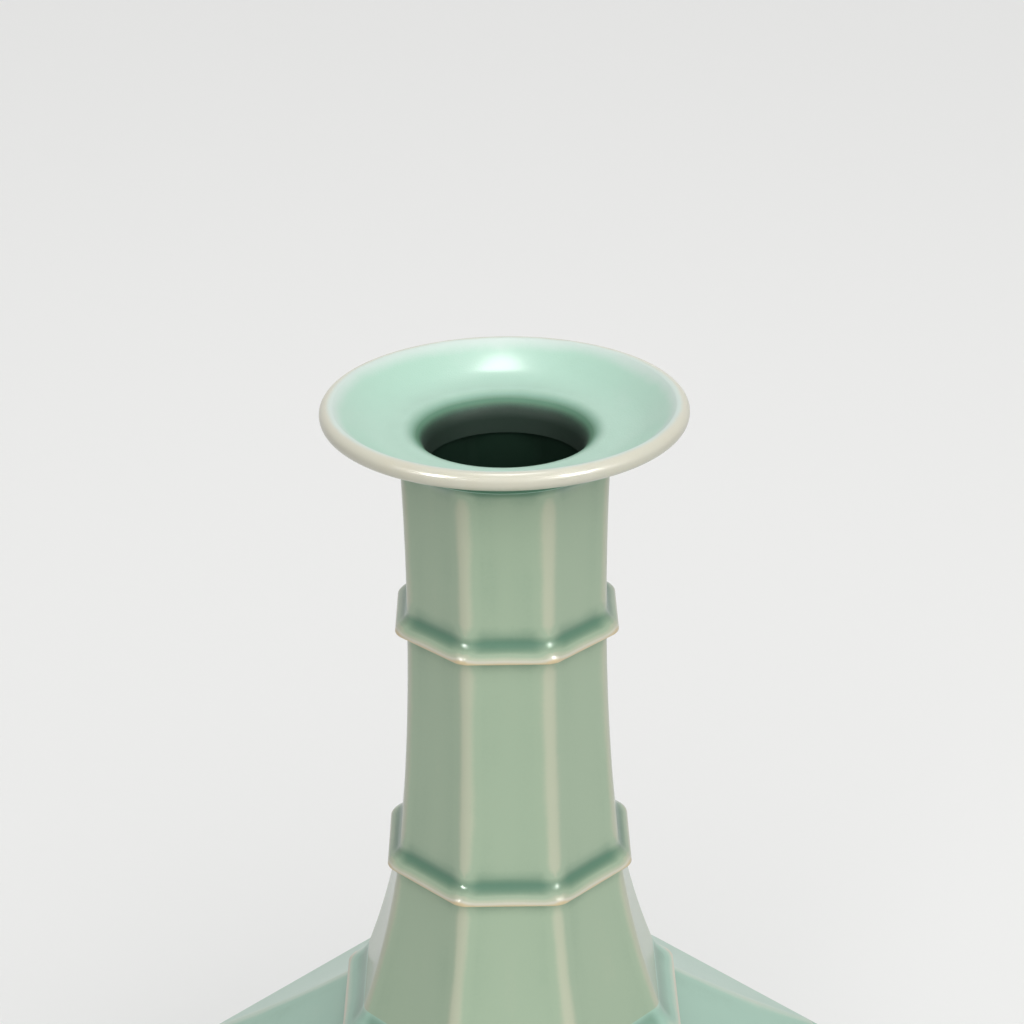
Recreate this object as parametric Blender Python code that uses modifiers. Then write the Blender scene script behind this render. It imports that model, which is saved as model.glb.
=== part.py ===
"""Dish-mouth vase: an eight-sided celadon bottle with a round dish mouth.

The vase is built up in sections, as a potter lutes them: a foot ring, a floor plate, a
belly, a shoulder, three lengths of neck and a thrown mouth. Each upper section has a
spigot that drops into a socket in the section below it, and a raised fillet covers the
seam outside. Lengths are in metres, +Z is up, and the vase stands on z = 0.

A "flat" is the distance from the vase's axis to one of its flat sides. An outline is a
closed list of (flat, height) points, or (radius, height) on the round mouth, that runs
down the outer side and up the inner side. A line is an open list of such points.
"""

import math

import bmesh
import bpy

# Sides of the angular sections and the roundness of their ridges
SIDES = 8
RIDGE_SETBACK = 0.0013
RIDGE_SEGMENTS = 2

# Clearance between two pieces that are luted together
CLEARANCE = 0.0003

# Heights of the sections, from the foot up
FOOT_HEIGHT = 0.0160
BELLY_HEIGHT = 0.1023
SHOULDER_HEIGHT = 0.0461
FLARE_HEIGHT = 0.0566
LOWER_NECK_HEIGHT = 0.0748
UPPER_NECK_HEIGHT = 0.0473

# Flats of the outer walls
FOOT_BOTTOM_FLAT = 0.0695
FOOT_TOP_FLAT = 0.0665
BELLY_FLAT = 0.0989
NECK_BASE_FLAT = 0.04615
NECK_WAIST_FLAT = 0.0319
NECK_FLAT = 0.02762
NECK_TOP_FLAT = 0.02827

# How far the middle of each hollow-sided wall lies inside the straight line of its ends
UPPER_NECK_SAG = 0.00032
LOWER_NECK_SAG = 0.00095
FLARE_SAG = 0.00168
SHOULDER_SAG = 0.00105

# Height above the foot where the belly's plumb side and its sloping underside would meet
BELLY_TURN = 0.0340

# Upright bands of the shoulder: what shows of its collar, and the band above the belly's seam
COLLAR_REVEAL = 0.0007
SHOULDER_BAND = 0.0017

# Wall thicknesses
NECK_WALL = 0.0055
BODY_WALL = 0.0070
FOOT_WALL = 0.0068
FLOOR_THICKNESS = 0.0075

# Spigots, the floor plate's seat on the foot ring, and the foot's bottom edges
SPIGOT_LENGTH = 0.0040
FLOOR_SEAT_DEPTH = 0.0040
FLOOR_SEAT_WIDTH = 0.0028
FOOT_CHAMFER = 0.0010

# Fillets: how far they reach below their seam, the height of their outer face, how far that
# face stands out, the height of the cove above it, and the thickness of the cove's top edge
FILLET_DROP = 0.0025
FILLET_FACE = 0.0022
NECK_FILLET_REACH = 0.0033
NECK_FILLET_COVE = 0.0049
NECK_BASE_FILLET_REACH = 0.0042
NECK_BASE_FILLET_COVE = 0.0073
SHOULDER_FILLET_REACH = 0.0034
SHOULDER_FILLET_COVE = 0.0011
FEATHER = 0.0006

# Thrown mouth: radii and widths, and heights above the collar's lower edge
MOUTH_RADIUS = 0.0500
LIP_RADIUS = 0.0025
LIP_HEIGHT = 0.0119
DISH_FLOOR_WIDTH = 0.0083
DISH_FLOOR_HEIGHT = 0.0058
DISH_SAG = 0.0007
THROAT_STEP = 0.0007
THROAT_ROUNDING = 0.0036
COLLAR_HEIGHT = 0.0010
UNDERSIDE_SAG = 0.0008
MOUTH_STEPS = 72
LIP_START_ANGLE = math.radians(120)
LIP_END_ANGLE = math.radians(-115)

# Stretches that a curved line is drawn in
WALL_POINTS = 6
BELLY_POINTS = 10
COVE_POINTS = 4
LIP_POINTS = 9

# Edges sharper than this stay crisp when a piece is shaded smooth
SHARP_ANGLE = math.radians(30)

# Colours of the glazes and of the bare clay, and how rough they are
MOUTH_COLOUR = (0.42, 0.62, 0.50)
NECK_COLOUR = (0.36, 0.49, 0.36)
BODY_COLOUR = (0.38, 0.55, 0.44)
FILLET_COLOUR = (0.62, 0.64, 0.48)
CLAY_COLOUR = (0.30, 0.19, 0.13)
GLAZE_ROUGHNESS = 0.18
CLAY_ROUGHNESS = 0.75

# Heights of the seams above the ground
FOOT_SEAM = FOOT_HEIGHT
BELLY_SEAM = FOOT_SEAM + BELLY_HEIGHT
SHOULDER_SEAM = BELLY_SEAM + SHOULDER_HEIGHT
FLARE_SEAM = SHOULDER_SEAM + FLARE_HEIGHT
LOWER_NECK_SEAM = FLARE_SEAM + LOWER_NECK_HEIGHT
NECK_TOP = LOWER_NECK_SEAM + UPPER_NECK_HEIGHT

# Below this distance two points are one
MERGE = 0.00001

# An edge that goes round the axis by less than this angle lies on a ridge
RIDGE_TOLERANCE = math.radians(1)


def bend(start, corner, end, count):
    """Points of a curve that leaves start for corner and arrives at end from it."""
    points = []
    for step in range(count + 1):
        t = step / count
        near, middle, far = (1 - t) ** 2, 2 * t * (1 - t), t ** 2
        points.append((
            near * start[0] + middle * corner[0] + far * end[0],
            near * start[1] + middle * corner[1] + far * end[1],
        ))
    return points


def hollow(start, end, sag, count=WALL_POINTS):
    """A wall line from its top to its bottom, hollowed towards the axis by sag."""
    across, down = end[0] - start[0], end[1] - start[1]
    length = math.hypot(across, down)
    corner = (
        (start[0] + end[0]) / 2 + 2 * sag * down / length,
        (start[1] + end[1]) / 2 - 2 * sag * across / length,
    )
    return bend(start, corner, end, count)


def inward(line, distance):
    """A line from top to bottom, set in by distance square to its own run."""
    moved = []
    for index, (flat, height) in enumerate(line):
        before = line[max(index - 1, 0)]
        after = line[min(index + 1, len(line) - 1)]
        across, down = after[0] - before[0], after[1] - before[1]
        length = math.hypot(across, down)
        moved.append((flat + distance * down / length, height - distance * across / length))
    return moved


def crossing(line, axis, value):
    """Where a line, run on past its ends, meets a flat (axis 0) or a height (axis 1)."""
    ordered = sorted(line, key=lambda point: point[axis])
    index = 1
    while index < len(ordered) - 1 and ordered[index][axis] < value:
        index += 1
    low, high = ordered[index - 1], ordered[index]
    share = (value - low[axis]) / (high[axis] - low[axis])
    return low[1 - axis] + share * (high[1 - axis] - low[1 - axis])


def between(line, axis, low, high):
    """The points of a line that lie between two flats (axis 0) or two heights (axis 1)."""
    return [point for point in line if low + MERGE < point[axis] < high - MERGE]


def spigot_flat(bore, side):
    """Outer flat of a spigot that takes up the inner half of a wall."""
    return (bore + side - CLEARANCE) / 2


def spigot(bore, side, seam):
    """Lower end of a section, from its outer side to its bore: a step, then a spigot."""
    outer = spigot_flat(bore, side)
    return [(side, seam), (outer, seam), (outer, seam - SPIGOT_LENGTH), (bore, seam - SPIGOT_LENGTH)]


def socket(bore, side, seam):
    """Upper end of a section, from its bore to its outer side: a ledge, then a socket."""
    outer = spigot_flat(bore, side) + CLEARANCE
    ledge = seam - SPIGOT_LENGTH - CLEARANCE
    top = seam - CLEARANCE
    return [(bore, ledge), (outer, ledge), (outer, top), (side, top)]


def wall_lines():
    """Outer wall lines of the angular sections, each from its top to its bottom."""
    collar_foot = SHOULDER_SEAM - FILLET_DROP - COLLAR_REVEAL
    band_top = BELLY_SEAM + SHOULDER_BAND
    return {
        "upper_neck": hollow((NECK_TOP_FLAT, NECK_TOP), (NECK_FLAT, LOWER_NECK_SEAM), UPPER_NECK_SAG),
        "lower_neck": hollow((NECK_FLAT, LOWER_NECK_SEAM), (NECK_WAIST_FLAT, FLARE_SEAM), LOWER_NECK_SAG),
        "neck_flare": hollow((NECK_WAIST_FLAT, FLARE_SEAM), (NECK_BASE_FLAT, SHOULDER_SEAM), FLARE_SAG),
        "shoulder": hollow((NECK_BASE_FLAT, collar_foot), (BELLY_FLAT, band_top), SHOULDER_SAG),
        "belly": bend(
            (BELLY_FLAT, BELLY_SEAM),
            (BELLY_FLAT, FOOT_SEAM + BELLY_TURN),
            (FOOT_TOP_FLAT, FOOT_SEAM),
            BELLY_POINTS,
        ),
    }


def neck_outline(line):
    """A length of neck between the socket at its top and the spigot at its bottom."""
    (top_flat, top_seam), (bottom_flat, bottom_seam) = line[0], line[-1]
    top_end = socket(top_flat - NECK_WALL, top_flat, top_seam)
    bottom_end = spigot(bottom_flat - NECK_WALL, bottom_flat, bottom_seam)
    bore = [(flat - NECK_WALL, height) for flat, height in line]
    outer = between(line, 1, bottom_seam, top_end[-1][1])
    inner = between(bore, 1, bottom_end[-1][1], top_end[0][1])
    return [top_end[-1]] + outer + bottom_end + inner[::-1] + top_end[:-1]


def shoulder_outline(line):
    """The sloping shoulder, from its collar under the neck to its outer band."""
    top_bore = NECK_BASE_FLAT - NECK_WALL
    bottom_bore = BELLY_FLAT - BODY_WALL
    lining = inward(line, BODY_WALL)
    inner = [(bottom_bore, crossing(lining, 0, bottom_bore))]
    inner += between(lining, 0, top_bore, bottom_bore)[::-1]
    inner += [(top_bore, crossing(lining, 0, top_bore))]
    top_end = socket(top_bore, NECK_BASE_FLAT, SHOULDER_SEAM)
    bottom_end = spigot(bottom_bore, BELLY_FLAT, BELLY_SEAM)
    return [top_end[-1]] + line + bottom_end + inner + top_end[:-1]


def belly_outline(line):
    """The belly, from its socket at the shoulder to its opening above the foot."""
    top_bore = BELLY_FLAT - BODY_WALL
    opening = floor_flat() + CLEARANCE
    top_end = socket(top_bore, BELLY_FLAT, BELLY_SEAM)
    lining = inward(line, BODY_WALL)
    inner = [(opening, FOOT_SEAM), (opening, crossing(lining, 0, opening))]
    inner += between(between(lining, 0, opening, top_bore), 1, FOOT_SEAM, top_end[0][1])[::-1]
    outer = between(line, 1, FOOT_SEAM, top_end[-1][1])
    return [top_end[-1]] + outer + [line[-1]] + inner + top_end[:-1]


def floor_flat():
    """Flat of the floor plate, which stands in the belly's opening and on the foot's ledge."""
    return FOOT_TOP_FLAT - FOOT_WALL + FLOOR_SEAT_WIDTH - CLEARANCE


def foot_ring_outline():
    """The foot ring, with a ledge inside its top edge for the floor plate."""
    bore = FOOT_TOP_FLAT - FOOT_WALL
    seat = floor_flat() + CLEARANCE
    top = FOOT_SEAM - CLEARANCE
    ledge = FOOT_SEAM - FLOOR_SEAT_DEPTH - CLEARANCE
    return [
        (FOOT_TOP_FLAT, top),
        (FOOT_BOTTOM_FLAT, FOOT_CHAMFER),
        (FOOT_BOTTOM_FLAT - FOOT_CHAMFER, 0.0),
        (bore + FOOT_CHAMFER, 0.0),
        (bore, FOOT_CHAMFER),
        (bore, ledge),
        (seat, ledge),
        (seat, top),
    ]


def fillet_outline(wall, seam, reach, cove):
    """A raised fillet on a wall line: a cove, an upright face and a flat underside."""
    bottom = seam - FILLET_DROP
    shelf = bottom + FILLET_FACE
    top = shelf + cove
    seat = [(flat + CLEARANCE, height) for flat, height in wall]
    outer = crossing(wall, 1, seam) + reach
    inner = [(crossing(seat, 1, bottom), bottom)]
    inner += between(seat, 1, bottom, top)[::-1]
    inner += [(crossing(seat, 1, top), top)]
    start = (inner[-1][0] + FEATHER, top)
    corner = (crossing(seat, 1, shelf) + FEATHER, shelf)
    curve = bend(start, corner, (outer, shelf), COVE_POINTS)
    return curve + [(outer, bottom)] + inner


def joined(*lines):
    """Wall lines that follow each other downwards, without doubled points."""
    points = []
    for line in lines:
        for point in line:
            if not points or math.dist(points[-1], point) > MERGE:
                points.append(point)
    return points


def lip_line(centre, height):
    """The lip's round edge, from inside the dish over the top to the underside."""
    points = []
    for step in range(LIP_POINTS + 1):
        angle = LIP_START_ANGLE + (LIP_END_ANGLE - LIP_START_ANGLE) * step / LIP_POINTS
        points.append((centre + LIP_RADIUS * math.cos(angle), height + LIP_RADIUS * math.sin(angle)))
    return points


def mouth_outline():
    """The thrown mouth: lip, underside, collar, spigot, throat and dish."""
    collar_foot = NECK_TOP + CLEARANCE
    collar_radius = NECK_TOP_FLAT / math.cos(math.pi / SIDES)
    spigot_radius = spigot_flat(NECK_TOP_FLAT - NECK_WALL, NECK_TOP_FLAT)
    spigot_foot = NECK_TOP - SPIGOT_LENGTH
    throat_radius = NECK_TOP_FLAT - NECK_WALL - THROAT_STEP
    dish_height = collar_foot + DISH_FLOOR_HEIGHT
    throat_edge = throat_radius + THROAT_ROUNDING
    dish_foot = (throat_edge + DISH_FLOOR_WIDTH, dish_height)
    lip = lip_line(MOUTH_RADIUS - LIP_RADIUS, collar_foot + LIP_HEIGHT)
    underside = hollow(lip[-1], (collar_radius, collar_foot + COLLAR_HEIGHT), UNDERSIDE_SAG)
    collar = [
        (collar_radius, collar_foot),
        (spigot_radius, collar_foot),
        (spigot_radius, spigot_foot),
        (throat_radius, spigot_foot),
    ]
    throat = bend(
        (throat_radius, dish_height - THROAT_ROUNDING),
        (throat_radius, dish_height),
        (throat_edge, dish_height),
        COVE_POINTS,
    )
    dish = hollow(dish_foot, lip[0], -DISH_SAG)
    return joined(lip, underside, collar, throat, dish[:-1])


def vase_collection():
    """The collection that holds the vase."""
    vase = bpy.data.collections.new("Dish-mouth vase")
    bpy.context.scene.collection.children.link(vase)
    return vase


def finish(piece, colour, roughness):
    """Gives a piece its own material, and smooth shading up to its sharp edges."""
    material = bpy.data.materials.new(piece.name)
    material.use_nodes = True
    shader = material.node_tree.nodes["Principled BSDF"]
    shader.inputs["Base Color"].default_value = (*colour, 1.0)
    shader.inputs["Roughness"].default_value = roughness
    shader.inputs["Metallic"].default_value = 0.0
    material.diffuse_color = (*colour, 1.0)
    piece.data.materials.append(material)
    piece.data.shade_smooth()
    piece.data.set_sharp_from_angle(angle=SHARP_ANGLE)


def turned(name, outline, steps, start=0.0):
    """A closed outline of radii and heights, turned round the Z axis."""
    mesh = bpy.data.meshes.new(name)
    points = [(radius * math.cos(start), radius * math.sin(start), height) for radius, height in outline]
    count = len(points)
    mesh.from_pydata(points, [(index, (index + 1) % count) for index in range(count)], [])
    piece = bpy.data.objects.new(name, mesh)
    screw = piece.modifiers.new("Turn", "SCREW")
    screw.axis = "Z"
    screw.angle = 2 * math.pi
    screw.steps = steps
    screw.render_steps = steps
    screw.use_merge_vertices = True
    screw.merge_threshold = MERGE
    return piece


def work_in_modifiers(piece):
    """Turns a linked piece's modifiers into plain mesh."""
    bpy.context.view_layer.update()
    evaluated = piece.evaluated_get(bpy.context.evaluated_depsgraph_get())
    mesh = bpy.data.meshes.new_from_object(evaluated)
    mesh.name = piece.name
    piece.modifiers.clear()
    piece.data = mesh


def soften_ridges(piece):
    """Rounds the ridges between the flat sides, outside and inside."""
    body = bmesh.new()
    body.from_mesh(piece.data)
    ridges = []
    for edge in body.edges:
        first, second = (vertex.co.xy for vertex in edge.verts)
        if first.angle(second) < RIDGE_TOLERANCE:
            ridges.append(edge)
    bmesh.ops.bevel(
        body,
        geom=ridges,
        offset=RIDGE_SETBACK,
        offset_type="OFFSET",
        segments=RIDGE_SEGMENTS,
        profile=0.5,
        affect="EDGES",
    )
    body.to_mesh(piece.data)
    body.free()


def angular(vase, name, outline, colour, roughness=GLAZE_ROUGHNESS):
    """An eight-sided piece."""
    half_side = math.pi / SIDES
    corners = [(flat / math.cos(half_side), height) for flat, height in outline]
    piece = turned(name, corners, SIDES, half_side)
    vase.objects.link(piece)
    work_in_modifiers(piece)
    soften_ridges(piece)
    finish(piece, colour, roughness)


def dish_mouth(vase):
    """The round mouth, thrown on the wheel."""
    piece = turned("dish_mouth", mouth_outline(), MOUTH_STEPS)
    vase.objects.link(piece)
    work_in_modifiers(piece)
    finish(piece, MOUTH_COLOUR, GLAZE_ROUGHNESS)


def floor_plate(vase):
    """The flat plate that closes the belly and stands on the foot ring's ledge."""
    half_side = math.pi / SIDES
    radius = floor_flat() / math.cos(half_side)
    body = bmesh.new()
    bmesh.ops.create_cone(
        body,
        cap_ends=True,
        segments=SIDES,
        radius1=radius,
        radius2=radius,
        depth=FLOOR_THICKNESS,
    )
    mesh = bpy.data.meshes.new("floor_plate")
    body.to_mesh(mesh)
    body.free()
    piece = bpy.data.objects.new("floor_plate", mesh)
    piece.rotation_euler.z = half_side
    piece.location.z = FOOT_SEAM - FLOOR_SEAT_DEPTH + FLOOR_THICKNESS / 2
    vase.objects.link(piece)
    soften_ridges(piece)
    finish(piece, BODY_COLOUR, GLAZE_ROUGHNESS)


def foot_ring(vase):
    """The foot ring, whose bottom edge the vase stands on."""
    angular(vase, "foot_ring", foot_ring_outline(), CLAY_COLOUR, CLAY_ROUGHNESS)


def sections(vase, lines):
    """The five angular sections above the foot ring."""
    for name in ("upper_neck", "lower_neck", "neck_flare"):
        angular(vase, name, neck_outline(lines[name]), NECK_COLOUR)
    angular(vase, "shoulder", shoulder_outline(lines["shoulder"]), BODY_COLOUR)
    angular(vase, "belly", belly_outline(lines["belly"]), BODY_COLOUR)


def neck_fillets(vase, lines):
    """The two fillets round the neck."""
    upper_wall = joined(lines["upper_neck"], lines["lower_neck"])
    lower_wall = joined(lines["lower_neck"], lines["neck_flare"])
    upper = fillet_outline(upper_wall, LOWER_NECK_SEAM, NECK_FILLET_REACH, NECK_FILLET_COVE)
    lower = fillet_outline(lower_wall, FLARE_SEAM, NECK_FILLET_REACH, NECK_FILLET_COVE)
    angular(vase, "upper_neck_fillet", upper, FILLET_COLOUR)
    angular(vase, "lower_neck_fillet", lower, FILLET_COLOUR)


def body_fillets(vase, lines):
    """The fillets at the foot of the neck and round the shoulder's edge."""
    collar = [(NECK_BASE_FLAT, SHOULDER_SEAM), lines["shoulder"][0]]
    band = [lines["shoulder"][-1], (BELLY_FLAT, BELLY_SEAM)]
    base = fillet_outline(
        joined(lines["neck_flare"], collar),
        SHOULDER_SEAM,
        NECK_BASE_FILLET_REACH,
        NECK_BASE_FILLET_COVE,
    )
    edge = fillet_outline(
        joined(band, lines["belly"]),
        BELLY_SEAM,
        SHOULDER_FILLET_REACH,
        SHOULDER_FILLET_COVE,
    )
    angular(vase, "neck_base_fillet", base, FILLET_COLOUR)
    angular(vase, "shoulder_edge_fillet", edge, FILLET_COLOUR)


def main():
    for thing in list(bpy.data.objects):
        bpy.data.objects.remove(thing)
    vase = vase_collection()
    lines = wall_lines()
    dish_mouth(vase)
    sections(vase, lines)
    neck_fillets(vase, lines)
    body_fillets(vase, lines)
    floor_plate(vase)
    foot_ring(vase)


main()
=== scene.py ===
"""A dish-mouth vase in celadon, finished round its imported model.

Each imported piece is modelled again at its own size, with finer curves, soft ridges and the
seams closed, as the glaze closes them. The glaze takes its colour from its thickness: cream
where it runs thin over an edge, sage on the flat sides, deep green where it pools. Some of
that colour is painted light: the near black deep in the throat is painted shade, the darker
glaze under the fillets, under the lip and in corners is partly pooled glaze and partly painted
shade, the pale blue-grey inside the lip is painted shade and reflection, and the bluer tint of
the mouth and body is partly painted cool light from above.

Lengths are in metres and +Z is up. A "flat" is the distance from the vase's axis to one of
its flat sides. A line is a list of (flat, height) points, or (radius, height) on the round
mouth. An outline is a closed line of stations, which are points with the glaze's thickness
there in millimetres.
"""

import math
from collections import namedtuple
from functools import reduce

import bmesh
import bpy
import numpy as np
from bpy.props import FloatProperty, FloatVectorProperty, IntProperty, PointerProperty
from mathutils import Matrix, Vector
from mathutils.bvhtree import BVHTree


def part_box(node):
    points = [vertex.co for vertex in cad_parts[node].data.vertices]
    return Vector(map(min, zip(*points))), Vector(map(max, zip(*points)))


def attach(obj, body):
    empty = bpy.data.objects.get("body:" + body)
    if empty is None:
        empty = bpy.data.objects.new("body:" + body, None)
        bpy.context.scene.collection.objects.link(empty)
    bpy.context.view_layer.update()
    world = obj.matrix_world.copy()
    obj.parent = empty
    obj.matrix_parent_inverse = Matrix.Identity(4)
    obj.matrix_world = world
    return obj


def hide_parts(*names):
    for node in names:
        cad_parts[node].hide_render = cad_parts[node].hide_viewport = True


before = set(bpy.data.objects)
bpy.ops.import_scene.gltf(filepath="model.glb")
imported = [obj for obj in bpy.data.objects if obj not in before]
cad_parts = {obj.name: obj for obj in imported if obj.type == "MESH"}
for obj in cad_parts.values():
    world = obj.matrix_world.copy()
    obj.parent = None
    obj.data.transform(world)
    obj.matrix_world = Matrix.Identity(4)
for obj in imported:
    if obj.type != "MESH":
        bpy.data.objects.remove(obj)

bl_info = {
    "name": "Dish-mouth vase",
    "version": (1, 0, 0),
    "blender": (4, 5, 0),
    "location": "3D View > Sidebar > Vase",
    "description": "Models and glazes an eight-sided celadon vase with a dish mouth",
    "category": "Object",
}

Station = namedtuple("Station", "flat height glaze")

# A fillet's cove: its start above the underside, the pulls on both ends of its curve, and its glaze
Cove = namedtuple("Cove", "height lead tail pool creep")

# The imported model: its box, the sides of its body and the gap that its pieces keep at a seam
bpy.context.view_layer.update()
SIDES = 8
HALF_SIDE = math.pi / SIDES
GAP = 0.0003

# Below this distance two points are one, and below this angle two directions are one
MERGE = 0.000002
SAME_DIRECTION = math.radians(1)

# How far inside a piece's end its wall is measured, and a distance outside every piece
INSET = 0.00005
OUTSIDE = 0.5

# A line's own points stay this far from the heights at which it is cut
CUT_CLEARANCE = 0.00002

# Faces that meet at less than this angle are shaded as one smooth surface
SMOOTH_ANGLE = math.radians(38)


def low(node):
    """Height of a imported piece's lowest point."""
    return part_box(node)[0].z


def high(node):
    """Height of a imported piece's highest point."""
    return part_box(node)[1].z


def reach(node):
    """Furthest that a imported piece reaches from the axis, square to its sides."""
    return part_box(node)[1].x


def corner_radius(node):
    """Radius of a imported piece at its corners."""
    return reach(node) / math.cos(HALF_SIDE)


def surface(node):
    """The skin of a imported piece, to measure on."""
    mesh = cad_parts[node].data
    return BVHTree.FromPolygons([vertex.co for vertex in mesh.vertices], [face.vertices for face in mesh.polygons])


SURFACES = {node: surface(node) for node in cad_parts}


def measured(node, height, bore=False):
    """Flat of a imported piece's outer wall at a height, or of its bore."""
    start = Vector((0.0 if bore else OUTSIDE, 0.0, height))
    direction = Vector((1.0 if bore else -1.0, 0.0, 0.0))
    place = SURFACES[node].ray_cast(start, direction)[0]
    if place is None:
        raise RuntimeError(f"{node} has no wall at a height of {height:.4f} m")
    return place.x


def upper_flat(node):
    """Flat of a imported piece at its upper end."""
    return measured(node, high(node) - INSET)


def lower_flat(node):
    """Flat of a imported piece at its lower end."""
    return measured(node, low(node) + INSET)


# Heights of the seams between the sections
NECK_TOP = high("upper_neck") + GAP
BASE_SEAM = high("shoulder") + GAP
BELLY_SEAM = high("belly") + GAP
FOOT_SEAM = low("belly")


def length(name, description, default):
    """A length that a user can change."""
    return FloatProperty(name=name, description=description, default=default, min=0.0, precision=5, unit="LENGTH")


def colour(name, description, default):
    """A colour that a user can change."""
    return FloatVectorProperty(name=name, description=description, default=default, min=0.0, max=1.0, subtype="COLOR")


def amount(name, description, default, most=10.0):
    """A plain number that a user can change."""
    return FloatProperty(name=name, description=description, default=default, min=0.0, max=most, precision=3)


class MouthSizes(bpy.types.PropertyGroup):
    """Sizes of the thrown mouth."""

    radius: length("Radius", "Outer radius of the lip", reach("dish_mouth"))
    lip_radius: length("Lip radius", "Radius of the lip's round edge", 0.0025)
    throat_radius: length("Throat radius", "Radius of the hole in the dish", 0.0216)
    throat_rounding: length("Throat rounding", "Radius of the rounding into the throat", 0.0066)
    floor_height: length("Dish floor height", "Height of the dish's floor above the neck", 0.0067)
    floor_width: length("Dish floor width", "Width of the level floor round the throat", 0.0061)
    floor_rounding: length("Floor rounding", "Length of the soft bend between floor and slope", 0.0080)
    dish_hollow: length("Dish hollow", "Depth of the dish's hollow slope", 0.0004)
    underside_hollow: length("Underside hollow", "Depth of the mouth's hollow underside", 0.0008)
    joint_rise: length("Joint rise", "How far the neck's glaze climbs over its seam with the mouth", 0.0008)
    collar_height: length("Collar height", "Height of the upright collar under the mouth", 0.0008)
    collar_reach: length("Collar reach", "How far the collar stands out over the neck's corners", 0.0003)
    collar_rounding: length("Collar rounding", "Radius of the collar's lower edge", 0.0004)
    spigot_radius: length("Spigot radius", "Radius of the spigot in the neck", lower_flat("dish_mouth"))
    steps: IntProperty(name="Steps", description="Steps round the mouth", default=144, min=24)


class WallSizes(bpy.types.PropertyGroup):
    """Sizes of the angular walls."""

    neck_wall: length("Neck wall", "Thickness of the neck's walls", 0.0055)
    body_wall: length("Body wall", "Thickness of the shoulder's and belly's walls", 0.0070)
    upper_hollow: length("Upper neck hollow", "Depth of the upper neck's hollow sides", 0.00032)
    lower_hollow: length("Lower neck hollow", "Depth of the lower neck's hollow sides", 0.00095)
    flare_hollow: length("Flare hollow", "Depth of the flare's hollow sides", 0.00168)
    shoulder_hollow: length("Shoulder hollow", "Depth of the shoulder's hollow sides", 0.00105)
    shoulder_foot: length("Shoulder band", "Height of the upright band at the shoulder's edge", 0.0017)
    shoulder_rounding: length("Shoulder rounding", "Radius of the shoulder's outer edge", 0.0012)
    collar_rounding: length("Collar rounding", "Size of the bend under the shoulder's collar", 0.0008)
    collar_reveal: length("Collar reveal", "What shows of the shoulder's collar under the fillet", 0.0007)
    belly_turn: length("Belly turn", "Height above the foot where the belly turns in", 0.0340)
    spigot_length: length("Spigot length", "How deep each section sits in the one below", 0.0040)
    rebate: length("Rebate", "How far a wall is cut back behind a fillet", 0.0010)
    ridge_width: length("Ridge width", "Distance from a ridge at which its rounding starts", 0.0021)
    ridge_steps: IntProperty(name="Ridge steps", description="Steps of a ridge's rounding", default=6, min=2)
    blend_height: length("Blend height", "Height in which the round collar turns into flat sides", 0.0036)
    blend_clearance: length("Blend clearance", "How far the blend stays inside the neck's corners", 0.0001)
    blend_swing: amount("Blend swing", "How late the blend swings out: 1 is even, and more is later", 2.2)
    blend_columns: IntProperty(name="Blend columns", description="Columns of a side that blends", default=11, min=2)


class FilletSizes(bpy.types.PropertyGroup):
    """Sizes of the raised fillets."""

    neck_cove: length("Neck cove", "Height above a neck fillet's underside where its cove starts", 0.0064)
    neck_lead: length("Neck lead", "Pull of the wall on a neck fillet's cove", 0.0032)
    neck_tail: length("Neck tail", "Pull of the edge on a neck fillet's roll", 0.0024)
    base_lead: length("Base lead", "Pull of the wall on the cove at the neck's base", 0.0062)
    base_tail: length("Base tail", "Pull of the edge on the roll at the neck's base", 0.0014)
    edge_lead: length("Edge lead", "Pull of the wall on the cove at the shoulder's edge", 0.0013)
    edge_tail: length("Edge tail", "Pull of the edge on the roll at the shoulder's edge", 0.0010)
    edge_rounding: length("Edge rounding", "Radius of a fillet's lower edge", 0.0005)
    ridge_width: length("Ridge width", "Distance from a corner at which its rounding starts", 0.0020)


class FootSizes(bpy.types.PropertyGroup):
    """Sizes of the foot ring and of the floor plate."""

    seat_depth: length("Seat depth", "Depth of the floor plate's seat in the foot ring", 0.0040)
    rounding: length("Rounding", "Radius of the standing edge's corners", 0.0010)
    glaze_line: length("Glaze line", "Height above the ground where the glaze ends", 0.0016)
    plate_rounding: length("Plate rounding", "Radius of the floor plate's edges", 0.0008)
    cove: length("Foot cove", "Height of the cove between belly and foot", 0.0016)
    cove_spread: amount("Cove spread", "Width of that cove, as a share of its height", 0.28, 1.0)


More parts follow.
